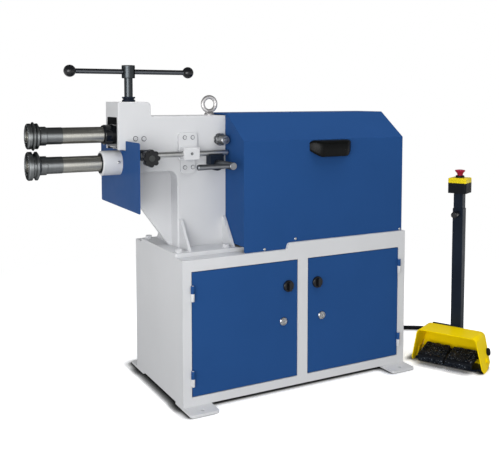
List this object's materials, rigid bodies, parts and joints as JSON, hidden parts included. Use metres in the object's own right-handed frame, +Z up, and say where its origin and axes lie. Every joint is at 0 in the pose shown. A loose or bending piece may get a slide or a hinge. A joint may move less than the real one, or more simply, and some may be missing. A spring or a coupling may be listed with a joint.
{
  "type": "electric bead roller",
  "caption": "Motor-driven bead roller: two cantilevered geared shafts with forming dies, screw feed, on a cabinet, with a free-standing foot pedal and stop button.",
  "frame": {"origin": "centre of the four anchor holes, on the floor", "axes": "+Z up, +X along the machine away from the dies, -Y towards the cabinet doors"},
  "size_m": [2.013, 0.8335, 1.276],
  "materials": {
    "cabinet_paint": "light grey powder coat",
    "blue_paint": "satin blue powder coat",
    "casting_paint": "light grey paint on cast iron",
    "bright_steel": "ground and polished steel",
    "dark_steel": "oiled dark steel",
    "zinc_steel": "bright plated steel",
    "bronze": "plain bearing bronze",
    "black_plastic": "matt black moulding",
    "gloss_black": "gloss black moulding",
    "black_paint": "gloss black paint",
    "yellow_paint": "yellow powder coat",
    "yellow_plastic": "yellow moulding",
    "red_plastic": "red moulding",
    "cable_rubber": "black cable sheath",
    "motor_alloy": "painted die-cast alloy",
    "grey_plastic": "grey enclosure"
  },
  "bodies": {
    "machine": {"cabinet_shell": "cabinet_paint", "front_frame": "cabinet_paint", "foot_plates": "cabinet_paint", "control_box": "grey_plastic", "cable_glands": "black_plastic", "hood": "blue_paint", "hood_grip": "black_plastic", "machine_frame": "casting_paint", "flange_bolts": "casting_paint", "throat_shield": "blue_paint", "lower_bearing_housing": "casting_paint", "lower_bushes": "bronze", "eye_bolt": "zinc_steel", "pivot_screws": "dark_steel", "spindle_nut": "black_paint", "gear_motor": "motor_alloy", "reducer_stand": "black_paint", "gauge_bracket": "casting_paint", "pedal_base": "black_paint", "pedal_guard": "yellow_paint", "guard_bolts": "black_paint", "post_outer": "black_paint", "pedal_cable": "cable_rubber", "cable_coil": "cable_rubber"},
    "lower_roll": {"lower_shaft": "bright_steel", "lower_spacer": "dark_steel", "lower_die": "dark_steel", "lower_die_nut": "dark_steel", "lower_gear": "dark_steel", "drive_coupling": "dark_steel"},
    "upper_carrier": {"upper_bearing_block": "black_paint", "upper_pivot_housing": "black_paint", "upper_bushes": "bronze"},
    "upper_roll": {"upper_shaft": "bright_steel", "upper_spacer": "dark_steel", "upper_die": "dark_steel", "upper_die_nut": "dark_steel", "upper_gear": "dark_steel"},
    "feed_foot": {"spindle_foot": "dark_steel"},
    "feed_screw": {"feed_spindle": "dark_steel", "handle_bar": "dark_steel", "handle_balls": "gloss_black"},
    "left_door_leaf": {"left_door": "blue_paint"},
    "right_door_leaf": {"right_door": "blue_paint"},
    "left_latch": {"left_door_latch": "gloss_black"},
    "right_latch": {"right_door_latch": "gloss_black"},
    "left_lock": {"left_door_lock": "zinc_steel"},
    "right_lock": {"right_door_lock": "zinc_steel"},
    "gauge": {"gauge_rod": "bright_steel", "gauge_end_block": "black_paint", "gauge_clamp": "black_paint", "gauge_finger": "bright_steel"},
    "gauge_star": {"gauge_knob": "black_plastic"},
    "left_pedal": {"left_tread": "black_plastic"},
    "right_pedal": {"right_tread": "black_plastic"},
    "stop_post": {"post_inner": "black_paint", "stop_box": "black_plastic", "stop_lid": "yellow_plastic"},
    "post_clamp": {"post_clamp_knob": "gloss_black"},
    "stop_mushroom": {"stop_button": "red_plastic"}
  },
  "joints": [
    {"name": "lower_shaft_spin", "type": "hinge", "parent": "machine", "child": "lower_roll", "pos_m": [-0.6, 0, 0.908], "axis": [1, 0, 0], "continuous": true},
    {"name": "upper_swing", "type": "hinge", "parent": "machine", "child": "upper_carrier", "pos_m": [-0.284, 0, 0.99], "axis": [0, 1, 0], "range_deg": [0, 2]},
    {"name": "upper_shaft_spin", "type": "hinge", "parent": "upper_carrier", "child": "upper_roll", "pos_m": [-0.6, 0, 1.015], "axis": [1, 0, 0], "continuous": true},
    {"name": "spindle_feed", "type": "slide", "parent": "machine", "child": "feed_foot", "axis": [0, 0, 1], "range_m": [0, 0.0121]},
    {"name": "spindle_turn", "type": "hinge", "parent": "feed_foot", "child": "feed_screw", "pos_m": [-0.629, 0, 1.2], "axis": [0, 0, 1], "range_deg": [0, 725]},
    {"name": "left_door_swing", "type": "hinge", "parent": "machine", "child": "left_door_leaf", "pos_m": [-0.48125, -0.2565, 0.28], "axis": [0, 0, -1], "range_deg": [0, 110]},
    {"name": "right_door_swing", "type": "hinge", "parent": "machine", "child": "right_door_leaf", "pos_m": [0.48125, -0.2565, 0.28], "axis": [0, 0, 1], "range_deg": [0, 110]},
    {"name": "left_latch_turn", "type": "hinge", "parent": "left_door_leaf", "child": "left_latch", "pos_m": [-0.068, -0.26, 0.415], "axis": [0, 1, 0], "range_deg": [0, 90]},
    {"name": "right_latch_turn", "type": "hinge", "parent": "right_door_leaf", "child": "right_latch", "pos_m": [0.068, -0.26, 0.415], "axis": [0, -1, 0], "range_deg": [0, 90]},
    {"name": "left_lock_turn", "type": "hinge", "parent": "left_door_leaf", "child": "left_lock", "pos_m": [-0.09, -0.25, 0.276], "axis": [0, 1, 0], "range_deg": [0, 90]},
    {"name": "right_lock_turn", "type": "hinge", "parent": "right_door_leaf", "child": "right_lock", "pos_m": [0.09, -0.25, 0.276], "axis": [0, -1, 0], "range_deg": [0, 90]},
    {"name": "gauge_slide", "type": "slide", "parent": "machine", "child": "gauge", "axis": [1, 0, 0], "range_m": [-0.02, 0.006]},
    {"name": "gauge_knob_turn", "type": "hinge", "parent": "gauge", "child": "gauge_star", "pos_m": [-0.6, -0.15, 0.932], "axis": [0, -1, 0], "range_deg": [0, 180]},
    {"name": "left_tread_press", "type": "hinge", "parent": "machine", "child": "left_pedal", "pos_m": [0.70515, -0.27567, 0.042], "axis": [0.454, -0.891, 0], "range_deg": [0, 8], "stiffness_Nm_per_rad": 4, "springref_deg": -11.46},
    {"name": "right_tread_press", "type": "hinge", "parent": "machine", "child": "right_pedal", "pos_m": [0.75963, -0.38259, 0.042], "axis": [0.454, -0.891, 0], "range_deg": [0, 8], "stiffness_Nm_per_rad": 4, "springref_deg": -11.46},
    {"name": "post_slide", "type": "slide", "parent": "machine", "child": "stop_post", "axis": [0, 0, 1], "range_m": [-0.06, 0.12]},
    {"name": "post_clamp_turn", "type": "hinge", "parent": "machine", "child": "post_clamp", "pos_m": [0.72924, -0.32736, 0.648], "axis": [0.891, 0.454, 0], "range_deg": [0, 180]},
    {"name": "stop_push", "type": "slide", "parent": "stop_post", "child": "stop_mushroom", "axis": [0, 0, -1], "range_m": [0, 0.004], "stiffness_N_per_m": 800, "springref_m": -0.004}
  ],
  "couplings": [
    {"joint": "upper_shaft_spin", "follows": "lower_shaft_spin", "ratio": -1},
    {"joint": "spindle_feed", "follows": "upper_swing", "m_per_rad": 0.345},
    {"joint": "spindle_turn", "follows": "upper_swing", "ratio": 361.28}
  ]
}
